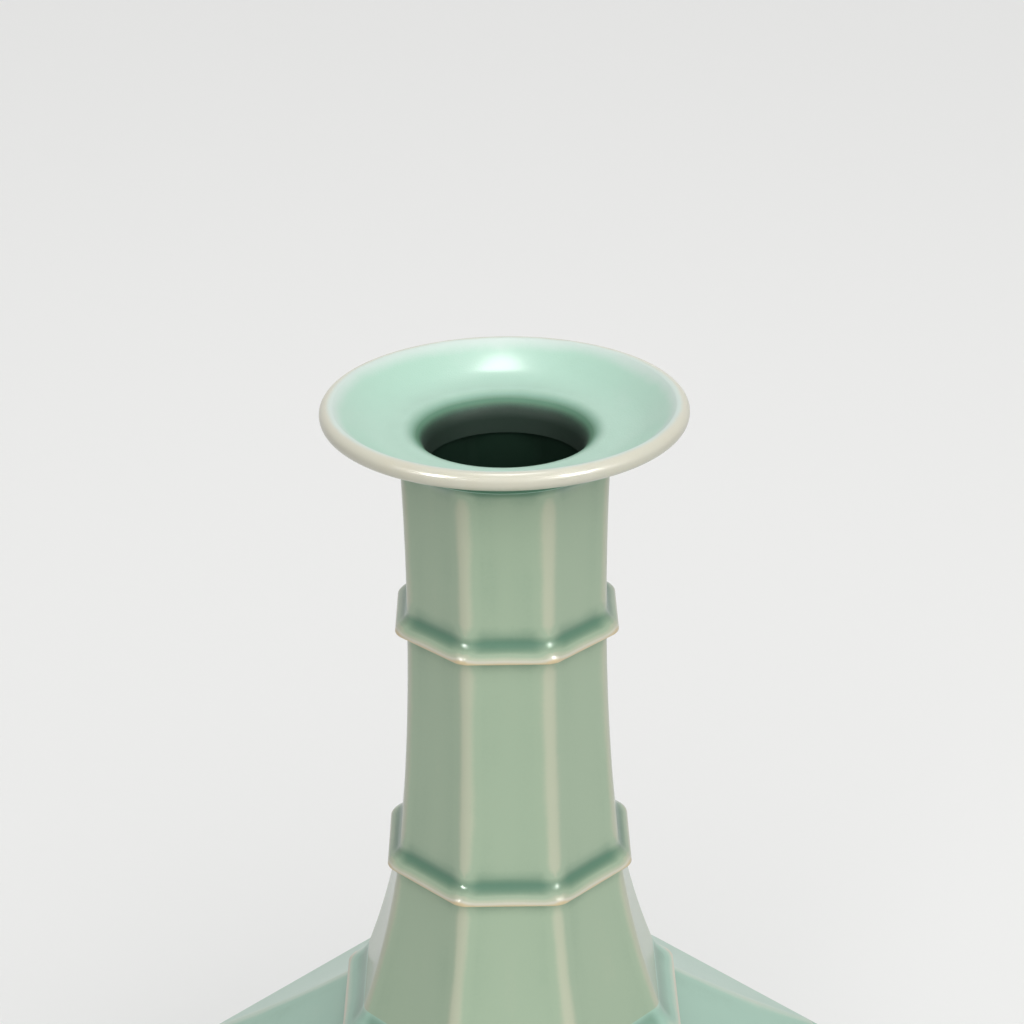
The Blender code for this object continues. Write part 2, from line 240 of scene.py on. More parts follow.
class GlazeLook(bpy.types.PropertyGroup):
    """Thicknesses, in millimetres, and colours of the glaze."""

    lip: amount("Lip", "Glaze on the lip", 0.20)
    edge: amount("Edge", "Glaze on a fillet's lower edge", 0.10)
    face: amount("Face", "Glaze over a fillet's rolled edge", 0.24)
    wall: amount("Wall", "Glaze on a flat side", 0.60)
    pool: amount("Pool", "Glaze in a cove of the neck", 1.25)
    body_pool: amount("Body pool", "Glaze in a cove of the body", 0.92)
    creep: amount("Creep", "Share of a pool's depth that the glaze has where a neck fillet's cove starts", 0.64, 1.0)
    # The bore's thickness runs the colour to near black: painted shade deep in the throat and the neck's bore
    bore: amount("Bore", "Glaze inside the neck and body", 2.10)
    ridge_thinning: amount("Ridge thinning", "Share of the glaze that runs off a ridge", 0.45, 1.0)
    ridge_reach: length("Ridge reach", "How far from a ridge the glaze is thinner", 0.0037)
    ridge_bank: amount("Ridge bank", "Share by which the glaze is thicker beside a ridge", 0.13, 1.0)
    clay_colour: colour("Clay", "Bare clay of the standing edge", (0.165, 0.085, 0.045))
    edge_colour: colour("Edge", "Thinnest glaze, over the lower edge of a fillet on the neck", (0.62, 0.51, 0.31))
    body_edge_colour: colour("Body edge", "Thinnest glaze on the body's edges", (0.58, 0.58, 0.46))
    cream_colour: colour("Cream", "Thin glaze on the lip and rolled edges", (0.61, 0.595, 0.49))
    neck_thin_colour: colour("Neck ridge", "Thin glaze on the neck's ridges", (0.47, 0.51, 0.375))
    neck_colour: colour("Neck", "Glaze on the neck's sides", (0.345, 0.450, 0.318))
    # Pale blue-grey at the lip's inner edge: painted shade and reflection
    lip_inner_shade_and_reflection_colour: colour("Mouth edge", "Thin glaze beside the lip", (0.58, 0.68, 0.63))
    # The dish's turquoise: partly glaze lying thicker in the dish, partly painted cool light from above
    mouth_glaze_and_cool_light_colour: colour("Mouth", "Glaze in the dish", (0.405, 0.615, 0.505))
    body_thin_colour: colour("Body ridge", "Thin glaze on the body's ridges", (0.46, 0.60, 0.495))
    # The body's mint: partly glaze, partly painted cool light from above on the shoulder
    body_colour: colour("Body", "Glaze on the shoulder and belly", (0.350, 0.540, 0.440))
    pool_colour: colour("Pool", "Glaze in a cove", (0.088, 0.203, 0.130))
    # Near black: painted shade deep in the throat and the bores, where little light reaches
    throat_shade_colour: colour("Deep", "Glaze pooled thickest", (0.012, 0.030, 0.019))
    speck_colour: colour("Speck", "Iron specks in the glaze", (0.46, 0.33, 0.12))


class StageLook(bpy.types.PropertyGroup):
    """Floor, lamps and camera."""

    floor_size: length("Floor size", "Width of the floor", 16.0)
    floor_gap: length("Floor gap", "Clearance between the floor and the foot", 0.0001)
    floor_colour: colour("Floor", "Colour of the floor", (0.60, 0.60, 0.59))
    floor_roughness: amount("Floor roughness", "Roughness of the floor", 0.9, 1.0)
    backdrop_colour: colour("Backdrop", "Colour of the backdrop", (0.88, 0.88, 0.86))
    floor_lift: amount("Floor lift", "Brightness that the camera sees on the floor besides its light", 0.28)
    backdrop: amount("Backdrop", "Brightness of the backdrop", 0.92)
    fill: amount("Fill", "Brightness of the soft light from all round", 0.14)
    main_power: amount("Main light", "Strength of the wide soft light in front", 2.65, 100.0)
    back_power: amount("Back light", "Strength of the soft light from behind", 0.8, 100.0)
    left_power: amount("Left lamp", "Power of the left lamp's narrow beam in watts", 0.11, 1000.0)
    right_power: amount("Right lamp", "Power of the right lamp's narrow beam in watts", 0.13, 1000.0)
    top_power: amount("Top lamp", "Power of the lamp overhead in watts", 6.5, 1000.0)
    lamp_distance: length("Lamp distance", "Distance from the neck or lip to each lamp", 1.4)
    camera_distance: length("Camera distance", "Level distance from the vase's axis to the camera", 0.598)
    camera_rise: length("Camera rise", "Height of the camera above the middle of the lip", 0.2493)
    camera_pitch: FloatProperty(
        name="Camera pitch", description="How far the camera looks down", default=math.radians(25.1), subtype="ANGLE"
    )
    camera_roll: FloatProperty(
        name="Camera roll", description="How far the camera leans", default=math.radians(-0.61), subtype="ANGLE"
    )
    focal_pixels: amount("Focal length", "Focal length in pixels of the frame", 2400.0, 10000.0)
    aim_pixels: amount("Aim", "Pixels by which the camera looks past the axis to the right", 6.4, 1000.0)


# Width of the picture frame in pixels, and of the camera's sensor in millimetres
FRAME_PIXELS = 1024
SENSOR = 36.0

# Wide soft lights: their turn to the right of the camera and their climb, in degrees
SUNS = (("main", 13.0, 36.0), ("back", 178.0, 22.0))
SUN_WIDTH = math.radians(70)

# Lamps: their turn and climb, their width and depth, the piece that they aim at, and their beam in degrees
LAMPS = (
    ("left", -46.0, 33.0, (0.20, 0.22), "upper_neck_fillet", 11.5),
    ("right", 47.0, 32.0, (0.20, 0.22), "upper_neck_fillet", 11.5),
    ("top", 174.0, 79.5, (0.32, 0.50), "dish_mouth", 180.0),
)
WHITE = (1.0, 1.0, 1.0, 1.0)


def curve(*corners, count, gathered=False):
    """Points of a curve that leaves its first corner for the next and arrives at its last.

    Gathered points lie closer together towards both ends.
    """
    last = len(corners) - 1
    points = []
    for step in range(count + 1):
        t = (1 - math.cos(math.pi * step / count)) / 2 if gathered else step / count
        shares = [math.comb(last, index) * (1 - t) ** (last - index) * t**index for index in range(last + 1)]
        points.append(tuple(sum(share * corner[axis] for share, corner in zip(shares, corners)) for axis in (0, 1)))
    return points


def hollow(start, end, depth, count=30):
    """A wall line from its top to its bottom, hollowed towards the axis by depth."""
    across, down = end[0] - start[0], end[1] - start[1]
    run = math.hypot(across, down)
    corner = (
        (start[0] + end[0]) / 2 + 2 * depth * down / run,
        (start[1] + end[1]) / 2 - 2 * depth * across / run,
    )
    return curve(start, corner, end, count=count, gathered=True)


def arc(centre, radius, first, last, count=6):
    """Points of an arc between two angles in degrees, which turn up from the outward side."""
    angles = [math.radians(first + (last - first) * step / count) for step in range(count + 1)]
    return [(centre[0] + radius * math.cos(a), centre[1] + radius * math.sin(a)) for a in angles]


def flat_at(line, height):
    """Where a line that runs down passes a height."""
    heights = [point[1] for point in reversed(line)]
    flats = [point[0] for point in reversed(line)]
    return float(np.interp(height, heights, flats))


def stretch(line, top, bottom):
    """The part of a line that runs down between two heights, with a point at each."""
    inner = [point for point in line if bottom + CUT_CLEARANCE < point[1] < top - CUT_CLEARANCE]
    return [(flat_at(line, top), top), *inner, (flat_at(line, bottom), bottom)]


def glazed(line, *stops):
    """Stations along a line. Each stop is a distance from its start and the glaze there."""
    travelled = [0.0]
    for before, after in zip(line, line[1:]):
        travelled.append(travelled[-1] + math.dist(before, after))
    values = np.interp(travelled, [stop[0] for stop in stops], [stop[1] for stop in stops])
    return [Station(point[0], point[1], float(value)) for point, value in zip(line, values)]


def even(line, glaze):
    """Stations along a line under an even glaze."""
    return [Station(point[0], point[1], glaze) for point in line]


def run(line):
    """Length of a line."""
    return sum(math.dist(before, after) for before, after in zip(line, line[1:]))


def closed(*parts):
    """An outline of several parts, without doubled points."""
    stations = []
    for part in parts:
        for station in part:
            if not stations or math.dist(stations[-1][:2], station[:2]) > MERGE:
                stations.append(station)
    if math.dist(stations[0][:2], stations[-1][:2]) < MERGE:
        stations.pop()
    return stations


def editing(piece):
    """Opens a piece for editing with nothing selected, and gives its mesh."""
    if bpy.context.mode != "EDIT_MESH":
        bpy.context.view_layer.objects.active = piece
        bpy.ops.object.mode_set(mode="EDIT")
    bpy.ops.mesh.select_all(action="DESELECT")
    bpy.context.tool_settings.mesh_select_mode = (False, True, False)
    return bmesh.from_edit_mesh(piece.data)


def pick_edges(piece, wanted):
    """Selects the edges that pass a test on their two ends."""
    body = editing(piece)
    for edge in body.edges:
        first, second = (vertex.co for vertex in edge.verts)
        if wanted(first, second):
            edge.select_set(True)
    bmesh.update_edit_mesh(piece.data)


def turned(name, outline, sides, turn=0.0):
    """Draws an outline out of a circle, ring by ring, until it closes on itself."""
    first = outline[0]
    stretching = 1 / math.cos(turn)
    bpy.ops.object.select_all(action="DESELECT")
    bpy.ops.mesh.primitive_circle_add(
        vertices=sides, radius=first.flat * stretching, location=(0, 0, first.height), rotation=(0, 0, turn)
    )
    piece = bpy.context.active_object
    piece.name = piece.data.name = name
    bpy.ops.object.transform_apply(location=True, rotation=True, scale=True)
    bpy.ops.object.mode_set(mode="EDIT")
    bpy.ops.mesh.select_all(action="SELECT")
    before = first
    for station in [*outline[1:], first]:
        rise = station.height - before.height
        growth = station.flat / before.flat
        bpy.ops.mesh.extrude_region_move(TRANSFORM_OT_translate={"value": (0, 0, rise)})
        bpy.ops.transform.resize(value=(growth, growth, 1), center_override=(0, 0, station.height))
        before = station
    bpy.ops.mesh.select_all(action="SELECT")
    bpy.ops.mesh.remove_doubles(threshold=MERGE)
    bpy.ops.mesh.normals_make_consistent(inside=False)
    return piece


def soften_ridges(piece, width, steps):
    """Rounds the ridges between the flat sides, and leaves the piece open for editing."""
    pick_edges(piece, lambda first, second: first.xy.angle(second.xy) < SAME_DIRECTION)
    bpy.ops.mesh.bevel(offset_type="OFFSET", offset=width, segments=steps, profile=0.5, affect="EDGES")


def flat_sides(points):
    """Flats of points round the axis, measured square to the side that each is on."""
    turn = np.arctan2(points[:, 1], points[:, 0])
    side = np.round(turn / (2 * HALF_SIDE)) * 2 * HALF_SIDE
    return np.hypot(points[:, 0], points[:, 1]) * np.cos(turn - side)


def paint(piece, outline, flats_of):
    """Lays the outline's glaze on a piece as a point attribute."""
    mesh = piece.data
    points = np.empty(len(mesh.vertices) * 3, np.float32)
    mesh.vertices.foreach_get("co", points)
    points = points.reshape(-1, 3)
    spots = np.column_stack([flats_of(points), points[:, 2]])
    starts = np.array([station[:2] for station in outline])
    ends = np.roll(starts, -1, axis=0)
    glazes = np.array([station.glaze for station in outline])
    runs = ends - starts
    shares = ((spots[:, None] - starts) * runs).sum(2) / (runs**2).sum(1)
    shares = np.clip(shares, 0, 1)
    distances = np.linalg.norm(starts + shares[..., None] * runs - spots[:, None], axis=2)
    nearest = distances.argmin(1)
    share = shares[np.arange(len(spots)), nearest]
    glaze = glazes[nearest] * (1 - share) + np.roll(glazes, -1)[nearest] * share
    attribute = mesh.attributes.new("glaze", "FLOAT", "POINT")
    attribute.data.foreach_set("value", glaze.astype(np.float32))


def finish(piece, outline, flats_of, material):
    """Shades a modelled piece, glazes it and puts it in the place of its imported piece."""
    if bpy.context.mode == "EDIT_MESH":
        bpy.ops.object.mode_set(mode="OBJECT")
    bpy.ops.object.select_all(action="DESELECT")
    piece.select_set(True)
    bpy.context.view_layer.objects.active = piece
    bpy.ops.object.shade_smooth_by_angle(angle=SMOOTH_ANGLE)
    weighting = piece.modifiers.new("Even sides", "WEIGHTED_NORMAL")
    weighting.keep_sharp = True
    bpy.ops.object.modifier_apply(modifier=weighting.name)
    check_closed(piece)
    paint(piece, outline, flats_of)
    piece.data.materials.append(material)
    node = piece.name.removesuffix("_glazed")
    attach(piece, "root")
    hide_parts(node)


def check_closed(piece):
    """Stops the script if a piece isn't one closed skin with its faces outwards."""
    body = bmesh.new()
    body.from_mesh(piece.data)
    loose = [edge for edge in body.edges if not edge.is_manifold]
    volume = body.calc_volume(signed=True)
    body.free()
    if loose or volume <= 0:
        raise RuntimeError(f"{piece.name}: {len(loose)} open edges, volume {volume:.9f}")


def radii(points):
    """Radii of points round the axis."""
    return np.hypot(points[:, 0], points[:, 1])


def angular(name, outline, width, steps, material):
    """An eight-sided piece with soft ridges."""
    piece = turned(name + "_glazed", outline, SIDES, HALF_SIDE)
    soften_ridges(piece, width, steps)
    finish(piece, outline, flat_sides, material)
    return piece


def spigot_flat(bore, side):
    """Flat of a spigot that takes up the inner half of a wall."""
    return (bore + side - GAP) / 2


def spigot(bore, side, seam, deep):
    """Lower end of a section inside its outer wall: a step, then a spigot."""
    outer = spigot_flat(bore, side)
    return [(outer, seam), (outer, seam - deep), (bore, seam - deep)]


def socket(bore, side, seam, deep):
    """Upper end of a section inside its outer wall: a ledge, then a socket."""
    outer = spigot_flat(bore, side) + GAP
    return [(bore, seam - deep - GAP), (outer, seam - deep - GAP), (outer, seam)]


def wall_lines(walls):
    """Outer wall lines of the neck's sections, each from its upper seam to its lower one."""
    seams = [(upper_flat(node), high(node) + GAP) for node in ("upper_neck", "lower_neck", "neck_flare", "shoulder")]
    depths = {"upper_neck": walls.upper_hollow, "lower_neck": walls.lower_hollow, "neck_flare": walls.flare_hollow}
    return {name: hollow(top, foot, depth) for (name, depth), top, foot in zip(depths.items(), seams, seams[1:])}


# Share of the creep that the glaze has reached where a fillet's piece starts
SEAM_CREEP = 0.7

# Height of the upright face between a fillet's curve and its round lower edge
EDGE_FACE = 0.0001

# Shares of a pool's depth that the glaze has under a fillet, and in a corner: partly pooled glaze, partly painted shade
# that falls under the fillets, under the lip and in the corners
UNDER_FILLET_POOL_AND_SHADE, CORNER_POOL_AND_SHADE = 0.75, 0.9

# Glaze in a fillet's cove: the share of the way down the curve, and the share of a pool's depth there
POOLING = ((0.10, 0.80), (0.20, 1.0), (0.32, 0.89), (0.44, 0.70), (0.54, 0.47))


def neck_outline(line, fillet_above, fillet_below, walls, look, climb, creep):
    """A length of neck, cut back where fillets cover it."""
    wall, pool = look.wall, look.pool
    (top_flat, top_seam), (bottom_flat, bottom_seam) = line[0], line[-1]
    top = low(fillet_above) if fillet_above else top_seam
    bottom = high(fillet_below)
    shown = stretch(line, top, bottom)
    long = run(shown)
    # The wall starts darker under a fillet or under the mouth's collar: partly pooled glaze, partly painted shade
    deep = pool * (UNDER_FILLET_POOL_AND_SHADE if fillet_above else CORNER_POOL_AND_SHADE)
    crept = wall + (pool - wall) * creep * SEAM_CREEP
    outer = glazed(shown, (0, deep), (0.0016, wall * 1.3), (0.0050, wall), (long - 0.0030, wall), (long, crept))
    above = [(top_flat, top_seam + climb)]
    if fillet_above:
        above = [(flat - walls.rebate, height) for flat, height in stretch(line, top_seam, top)]
    below = [(flat - walls.rebate, height) for flat, height in stretch(line, bottom, bottom_seam)]
    bore = [(flat - walls.neck_wall, height) for flat, height in line]
    top_end = socket(bore[0][0], top_flat, top_seam, walls.spigot_length)
    bottom_end = spigot(bore[-1][0], bottom_flat, bottom_seam, walls.spigot_length)
    inner = stretch(bore[:-1] + [(bore[-1][0], bottom_end[-1][1])], top_end[0][1], bottom_end[-1][1])
    return closed(
        even(above, wall if fillet_above else pool),
        outer,
        even(below + bottom_end, wall),
        even(inner[::-1], look.bore),
        even(top_end[:2] + [(top_end[2][0], top_end[2][1] + climb)], wall),
    )


def fillet_outline(node, wall, below, cove, sizes, walls, look):
    """A raised fillet: a cove that leaves the wall above, a rolled edge and a flat underside."""
    top, bottom, outer = high(node), low(node), reach(node)
    start_height = min(top - INSET, bottom + cove.height)
    start = (flat_at(wall, start_height), start_height)
    fall = Vector((flat_at(wall, start_height - INSET) - flat_at(wall, start_height + INSET), -2 * INSET)).normalized()
    first = (start[0] + fall.x * cove.lead, start[1] + fall.y * cove.lead)
    round_edge = sizes.edge_rounding
    end = (outer, bottom + round_edge + EDGE_FACE)
    sweep = curve(start, first, (outer, end[1] + cove.tail), end, count=28)
    edge = arc((outer - round_edge, bottom + round_edge), round_edge, 0, -90)
    above = stretch(wall, top, start_height)
    line = above + sweep[1:] + edge
    leaves, long = run(above), run(sweep)
    underside = [(outer - round_edge, bottom), (below, bottom)]

    def pooled(share):
        """Glaze at a share of the way from a flat side's to the pool's."""
        return look.wall + (cove.pool - look.wall) * share

    return closed(
        glazed(
            line,
            (0, pooled(cove.creep * SEAM_CREEP)),
            (leaves, pooled(cove.creep)),
            *((leaves + long * way, pooled(share)) for way, share in POOLING),
            (leaves + long * 0.65, look.wall),
            (leaves + long * 0.77, look.wall * 0.75),
            (leaves + long * 0.88, look.face),
            (leaves + long, look.edge * 1.3),
            (leaves + long + run(edge) * 0.3, look.edge),
            (run(line), look.edge),
        ),
        # The fillet's underside darkens towards the wall: partly pooled glaze, partly painted shade
        glazed(underside, (0, look.edge), (run(underside), look.pool * UNDER_FILLET_POOL_AND_SHADE)),
        even([(below - walls.rebate, bottom), (flat_at(wall, top) - walls.rebate, top)], look.wall),
    )


# Angles in degrees at which the lip's round edge leaves the dish and meets the underside
LIP_START, LIP_END = 118, -115


def mouth_outline(sizes, look):
    """The thrown mouth: lip, underside, collar, spigot, throat and dish."""
    collar_radius = corner_radius("upper_neck") + sizes.collar_reach
    lip_centre = (sizes.radius - sizes.lip_radius, high("dish_mouth") - sizes.lip_radius)
    lip = arc(lip_centre, sizes.lip_radius, LIP_START, LIP_END, count=36)
    joint = NECK_TOP + sizes.joint_rise
    underside = hollow(lip[-1], (collar_radius, joint + sizes.collar_height), sizes.underside_hollow, count=14)
    rounding = sizes.collar_rounding
    collar = arc((collar_radius - rounding, joint + rounding), rounding, 0, -90, count=4)
    foot = low("dish_mouth")
    seat = [(sizes.spigot_radius, joint), (sizes.spigot_radius, foot)]
    floor = NECK_TOP + sizes.floor_height
    throat_edge = sizes.throat_radius + sizes.throat_rounding
    throat = arc((throat_edge, floor - sizes.throat_rounding), sizes.throat_rounding, 180, 90, count=10)
    slope_foot = (throat_edge + sizes.floor_width, floor)
    soft = sizes.floor_rounding / 2
    slope = hollow(slope_foot, lip[0], sizes.dish_hollow, count=40)
    slope = [point for point in slope if math.dist(point, slope_foot) > soft]
    corner = curve((slope_foot[0] - soft, floor), slope_foot, slope[0], count=8)
    dish = corner + slope[1:]
    wall, pool, turn, long = look.wall, look.pool, run(throat), run(dish)
    return closed(
        glazed(lip, (0, wall * 0.60), (0.0022, look.lip), (0.0070, look.lip), (run(lip), wall * 0.8)),
        # The mouth's underside darkens towards the collar: partly pooled glaze, partly painted shade under the lip
        glazed(underside, (0, wall * 0.8), (run(underside), pool)),
        glazed(collar, (0, pool), (run(collar), look.edge)),
        even(seat, wall),
        even([(sizes.throat_radius, foot)], look.bore),
        # The throat darkens towards its bore: painted shade where little light reaches
        glazed(throat, (0, look.bore), (turn * 0.35, pool * 1.4), (turn * 0.62, pool * 0.82), (turn, wall * 1.1)),
        glazed(dish, (0, wall * 1.1), (0.0045, wall), (long - 0.0045, wall), (long, wall * 0.60)),
    )


# Direction that the shoulder's slope faces, outwards and up
SLOPE_FACING = (0.66, 0.75)


def shoulder_outline(walls, look):
    """The sloping shoulder, from its collar to the band that the edge fillet sits on."""
    collar_flat = upper_flat("shoulder")
    edge_flat = measured("shoulder", BELLY_SEAM + INSET)
    collar_foot = low("neck_base_fillet") - walls.collar_reveal
    band_top = BELLY_SEAM + walls.shoulder_foot
    slope = hollow((collar_flat, collar_foot), (edge_flat, band_top), walls.shoulder_hollow, count=40)
    rounding = walls.shoulder_rounding
    bending = walls.collar_rounding
    middle = [point for point in slope if math.dist(point, slope[0]) > bending]
    middle = [point for point in middle if math.dist(point, slope[-1]) > rounding]
    top_corner = curve((collar_flat, collar_foot + bending / 2), slope[0], middle[0], count=5)
    low_corner = curve(middle[-1], slope[-1], (edge_flat, high("shoulder_edge_fillet") + INSET), count=8)
    shown = [(collar_flat, low("neck_base_fillet")), *top_corner, *middle[1:-1], *low_corner]
    shown.append((edge_flat, high("shoulder_edge_fillet")))
    long, wall = run(shown), look.wall
    # The shoulder starts darker under the neck's base fillet: partly pooled glaze, partly painted shade
    upper_stops = (0, look.pool * 0.8), (0.0030, wall * 1.1), (0.0060, wall)
    lower_stops = (long - 0.0032, wall), (long - 0.0014, wall * 0.72), (long, wall)
    inward, down = (walls.body_wall * share for share in SLOPE_FACING)
    lining = [(flat - inward, height - down) for flat, height in slope]
    bore_top, bore_bottom = collar_flat - walls.neck_wall, edge_flat - walls.body_wall
    inner = [point for point in lining if bore_top < point[0] < bore_bottom]
    top_end = socket(bore_top, collar_flat, BASE_SEAM, walls.spigot_length)
    bottom_end = spigot(bore_bottom, edge_flat, BELLY_SEAM, walls.spigot_length)
    hidden_top = [(collar_flat - walls.rebate, BASE_SEAM), (collar_flat - walls.rebate, shown[0][1])]
    hidden_bottom = [(edge_flat - walls.rebate, shown[-1][1]), (edge_flat - walls.rebate, BELLY_SEAM)]
    return closed(
        even(hidden_top, wall),
        glazed(shown, *upper_stops, *lower_stops),
        even(hidden_bottom + bottom_end, wall),
        even(inner[::-1], look.bore),
        even(top_end, wall),
    )


def belly_line(walls):
    """Outer wall line of the belly, from its seam with the shoulder to the foot."""
    top = upper_flat("belly")
    bottom = lower_flat("belly")
    turn = FOOT_SEAM + walls.belly_turn
    return curve((top, BELLY_SEAM), (top, turn), (bottom, FOOT_SEAM), count=48, gathered=True)


# Depth of the belly's lining and its height over the foot, as shares of the wall's thickness
LINING_DEPTH, LINING_RISE = 0.97, 0.9


def belly_outline(walls, foot, look):
    """The rounded belly, open at the bottom for the floor plate."""
    line = belly_line(walls)
    shown = stretch(line, low("shoulder_edge_fillet"), FOOT_SEAM)
    shown = [point for point in shown if math.dist(point, line[-1]) > foot.cove]
    joint = (line[-1][0] + foot.cove * foot.cove_spread, FOOT_SEAM)
    shown += curve(shown[-1], line[-1], joint, count=5)[1:]
    opening = measured("belly", FOOT_SEAM + 2 * INSET, bore=True)
    bore_top = line[0][0] - walls.body_wall
    lining = [(flat - walls.body_wall * LINING_DEPTH, height) for flat, height in line]
    lowest = FOOT_SEAM + walls.body_wall * LINING_RISE
    top_end = socket(bore_top, line[0][0], BELLY_SEAM, walls.spigot_length)
    inner = [point for point in lining if point[0] > opening and lowest < point[1] < top_end[0][1]]
    hidden = [(line[0][0] - walls.rebate, height) for height in (BELLY_SEAM, shown[0][1])]
    long, wall = run(shown), look.wall
    # Darker under the edge fillet and at the foot: partly pooled glaze, partly painted shade
    upper_stops = (0, look.pool * UNDER_FILLET_POOL_AND_SHADE), (0.0012, wall * 1.15), (0.0045, wall)
    return closed(
        even(hidden, wall),
        glazed(shown, *upper_stops, (long - 0.0060, wall), (long, look.pool * CORNER_POOL_AND_SHADE)),
        even([(opening, FOOT_SEAM)], wall),
        even(inner[::-1], look.bore),
        even(top_end, wall),
    )


def foot_outline(foot, look):
    """The foot ring, glazed down to a line above its bare standing edge."""
    top, base = high("foot_ring"), low("foot_ring")
    bare = base + foot.rounding
    joint = lower_flat("belly") + foot.cove * foot.cove_spread
    top_flat = upper_flat("foot_ring")
    bottom_flat = reach("foot_ring")
    seat = measured("foot_ring", top - INSET, bore=True)
    bore = measured("foot_ring", bare + 2 * foot.rounding, bore=True)
    ledge = FOOT_SEAM - foot.seat_depth - GAP
    side = curve((joint, FOOT_SEAM), (top_flat, top - foot.cove), (bottom_flat, bare), count=24)
    outer_edge = arc((bottom_flat - foot.rounding, bare), foot.rounding, 0, -90)
    inner_edge = arc((bore + foot.rounding, bare), foot.rounding, -90, -180)
    # Darker in the corner between belly and foot: partly pooled glaze, partly painted shade
    wall, corner = look.wall, look.pool * CORNER_POOL_AND_SHADE
    line_over = foot.glaze_line - foot.rounding
    ends = run(side) - line_over
    inside = [(bore, height) for height in np.linspace(bare, ledge, 12)]
    return closed(
        glazed(side, (0, corner), (0.0030, wall), (ends - 0.0012, wall), (ends - 0.0003, wall * 1.2), (ends, 0.0)),
        even(outer_edge + inner_edge, 0.0),
        glazed(inside, (0, 0.0), (line_over, wall), (ledge - bare, corner)),
        even([(seat, ledge), (seat, FOOT_SEAM), (joint, FOOT_SEAM)], wall),
    )


# The glaze's patterns: their scale, in repeats to the metre, and the share by which they thin or thicken it
CLOUD_SCALE, CLOUD_DRIFT = 34.0, 0.09
STREAK_SCALE, STREAK_DRIFT = 170.0, 0.05
GRAIN_SCALE, FROST_GRAIN_SCALE, GRAIN_DRIFT = 1100.0, 2200.0, 0.025
WAVE_SCALE = 60.0
STREAK_SQUEEZE = (1, 1, 0.10)
NOISE_RANGE = (0.2, 0.8)

# Iron specks: their scale, the share of places without one, their largest size there and their strength
SPECK_SCALE, SPECKLESS, SPECK_SIZE, SPECK_STRENGTH = 95.0, 0.80, 0.028, 0.45

# Glaze in millimetres between which bare clay turns glossy, and at the end of the colour ramp
CLAY_END, GLOSS_START = 0.03, 0.06
RAMP_END = 2.5

# What is left of a ridge's thinning and of the patterns where the glaze pools
POOLED_THINNING, POOLED_DRIFT = 0.48, 0.22

# How far a ridge's line wanders, in metres, and the distance from it at which the glaze is thinnest
RIDGE_WANDER, RIDGE_CREST = 0.0005, 0.0002

# Roughness: of the glaze, its change with the grain, what the throat adds to it, and of the clay
GLOSS, GLOSS_CHANGE, THROAT_MATTING, CLAY_ROUGHNESS = 0.27, 0.06, 0.25, 0.85

# Mirror shine: its level, the coat's roughness, and how much frost roughens the coat
SHINE, COAT_ROUGHNESS, COAT_FROSTING = 0.4, 0.06, 1.1

# Relief: its depth in metres, its strength plain and frosted, and the share that the grain makes of it
RELIEF, RELIEF_STRENGTH, FROST_STRENGTH = 0.00006, 0.25, 0.45
GRAIN_RELIEF, FROST_RELIEF = 0.2, 18.0


class Nodes:
    """Makes the shader nodes of one material or world. A number is a plain value or a socket."""

    def __init__(self, tree):
        self.tree = tree

    def new(self, kind, given=None, **settings):
        """A new node with some of its settings and inputs."""
        made = self.tree.nodes.new(kind)
        for name, value in settings.items():
            setattr(made, name, value)
        for name, value in (given or {}).items():
            self.feed(value, made.inputs[name])
        return made

    def feed(self, value, socket_in):
        """Links a socket to an input, or sets the input to a plain value."""
        if isinstance(value, bpy.types.NodeSocket):
            self.tree.links.new(value, socket_in)
        else:
            socket_in.default_value = value

    def maths(self, operation, first, second=0.0):
        """An operation on one or two numbers."""
        return self.new("ShaderNodeMath", {0: first, 1: second}, operation=operation).outputs[0]

    def plus(self, *numbers):
        """The sum of several numbers."""
        return reduce(lambda first, second: self.maths("ADD", first, second), numbers)

    def minus(self, first, second):
        """The difference of two numbers."""
        return self.maths("SUBTRACT", first, second)

    def times(self, *numbers):
        """The product of several numbers."""
        return reduce(lambda first, second: self.maths("MULTIPLY", first, second), numbers)

    def spread(self, value, low_in, high_in, low_out, high_out, smooth=True):
        """Maps a number from one range to another."""
        given = dict(enumerate((value, low_in, high_in, low_out, high_out)))
        return self.new("ShaderNodeMapRange", given, interpolation_type="SMOOTHSTEP" if smooth else "LINEAR").outputs[0]

    def noise(self, place, scale, detail, squeeze=(1, 1, 1)):
        """A cloudy pattern round 0.5, squeezed along each axis."""
        mapping = self.new("ShaderNodeMapping", {"Scale": squeeze, "Vector": place})
        given = {"Scale": scale, "Detail": detail, "Vector": mapping.outputs["Vector"]}
        return self.new("ShaderNodeTexNoise", given).outputs["Fac"]

    def drift(self, pattern, share):
        """A noise as a change by up to a share either way."""
        return self.spread(pattern, *NOISE_RANGE, -share, share)

    def ridge_distance(self, place):
        """Distance from the nearest ridge, along the flat side."""
        parts = self.new("ShaderNodeSeparateXYZ", {0: place})
        x, y = parts.outputs["X"], parts.outputs["Y"]
        radius = self.maths("SQRT", self.plus(self.times(x, x), self.times(y, y)))
        turns = self.maths("DIVIDE", self.maths("ARCTAN2", y, x), 2 * HALF_SIDE)
        share = self.minus(self.maths("FRACT", self.plus(turns, 0.5)), 0.5)
        angle = self.maths("ABSOLUTE", self.times(share, 2 * HALF_SIDE))
        half_width = self.times(self.maths("COSINE", angle), math.tan(HALF_SIDE))
        return self.times(radius, self.minus(half_width, self.maths("SINE", angle)))

    def colour_ramp(self, value, stops):
        """A colour that follows a number through stops, each a number and the colour there."""
        ramp = self.new("ShaderNodeValToRGB", {"Fac": self.maths("DIVIDE", value, RAMP_END)})
        ramp.color_ramp.interpolation = "EASE"
        elements = ramp.color_ramp.elements
        for index, (number, tint) in enumerate(stops):
            element = elements[index] if index < 2 else elements.new(number / RAMP_END)
            element.position = number / RAMP_END
            element.color = (*tint, 1.0)
        return ramp.outputs["Color"]


